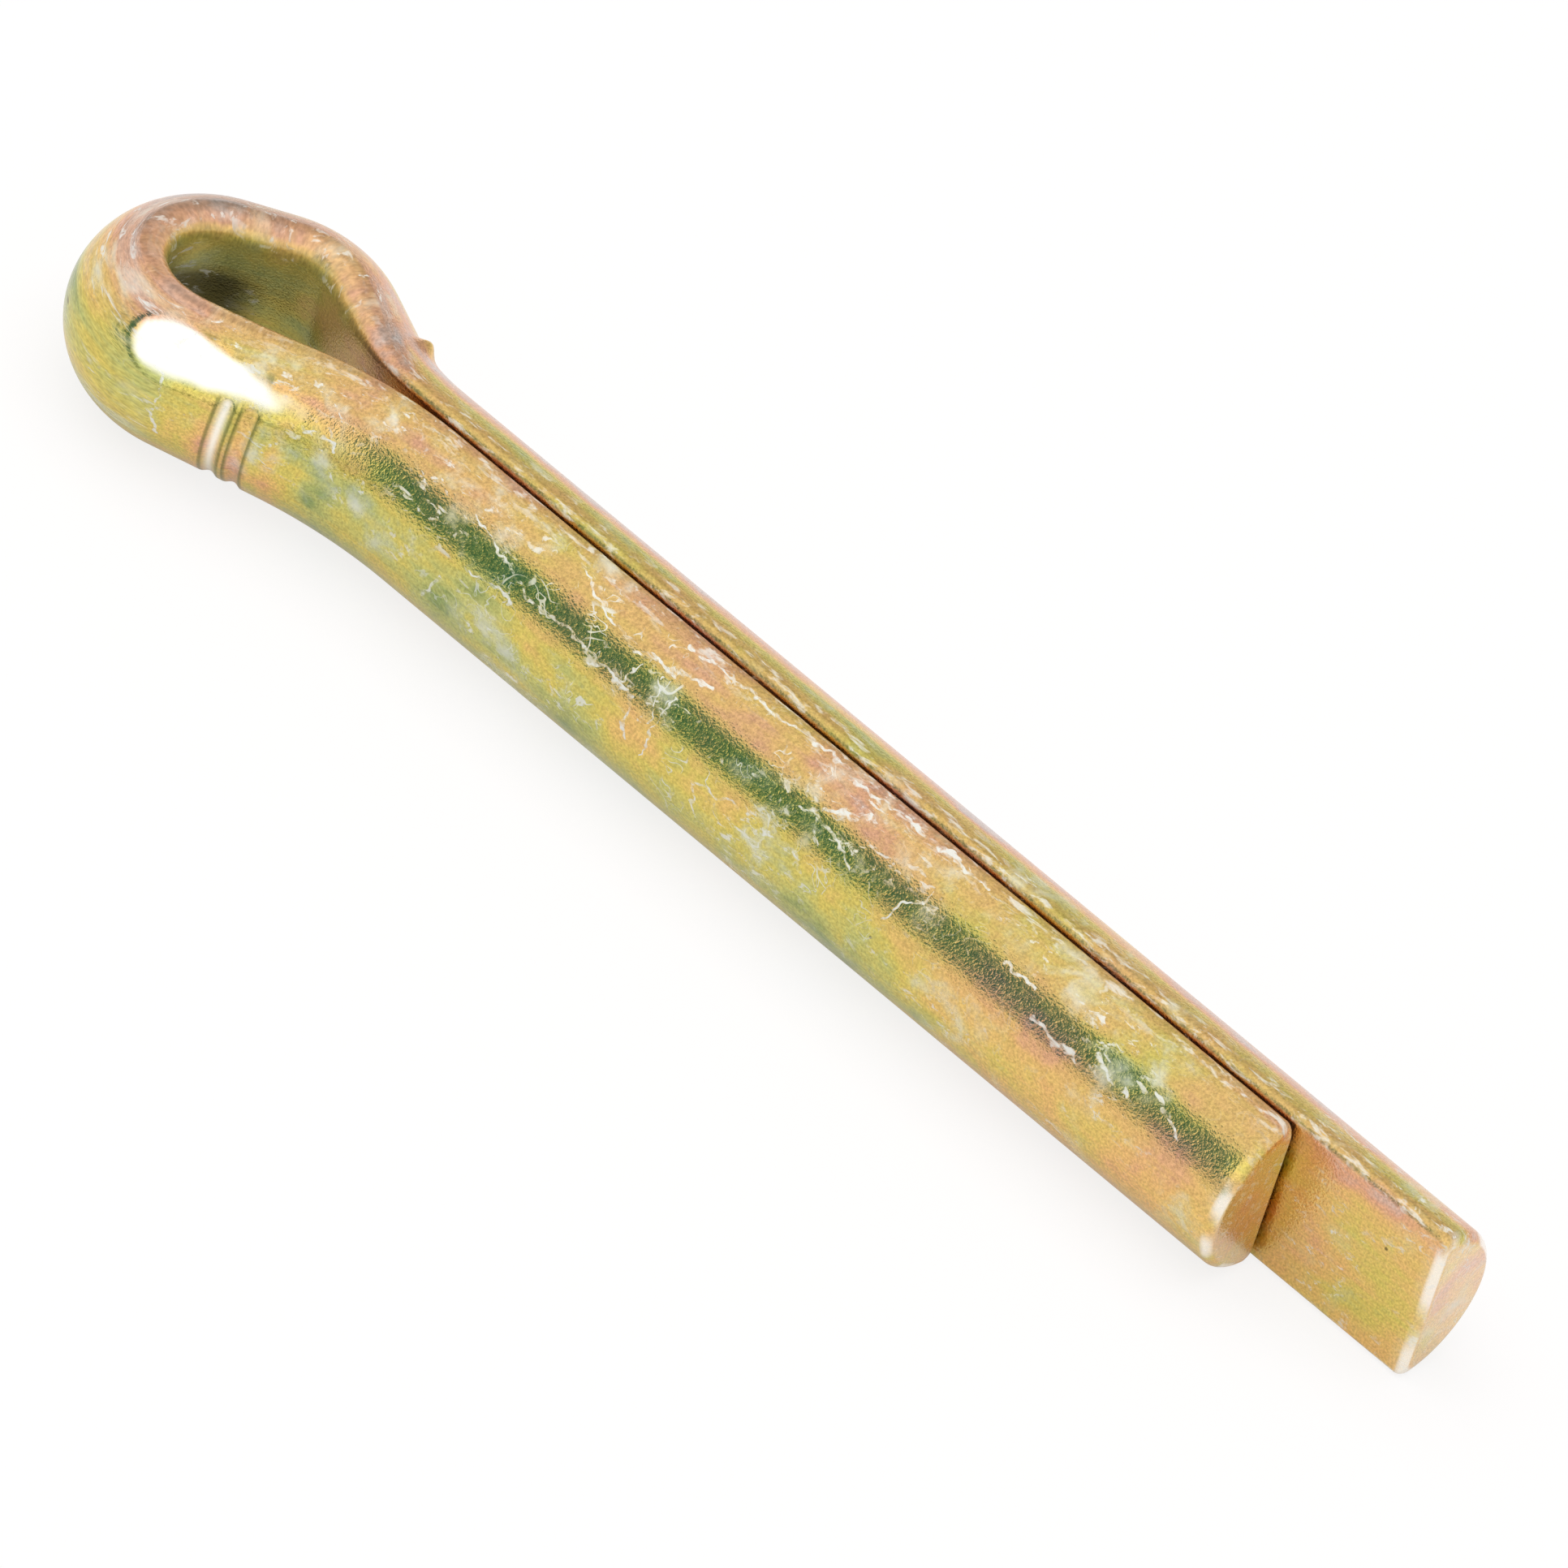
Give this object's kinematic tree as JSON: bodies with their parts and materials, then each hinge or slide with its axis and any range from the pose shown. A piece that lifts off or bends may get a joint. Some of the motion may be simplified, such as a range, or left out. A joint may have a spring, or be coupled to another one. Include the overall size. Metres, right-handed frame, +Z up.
{
  "type": "cotter pin",
  "caption": "Split cotter pin: half-round wire folded into a small teardrop eye, with a short and a long straight prong lying flat against each other.",
  "frame": {"origin": "under the middle of the pin's box, on the surface that the pin lies on", "axes": "+X along the shank from the eye to the prong tips, +Y toward the long prong, +Z up from the surface"},
  "size_m": [0.0284, 0.005, 0.003],
  "materials": {
    "zinc_yellow": "steel wire, zinc plated with a yellow chromate film, satin with worn bright edges"
  },
  "bodies": {
    "root": {"cotter_pin": "zinc_yellow"}
  },
  "joints": []
}
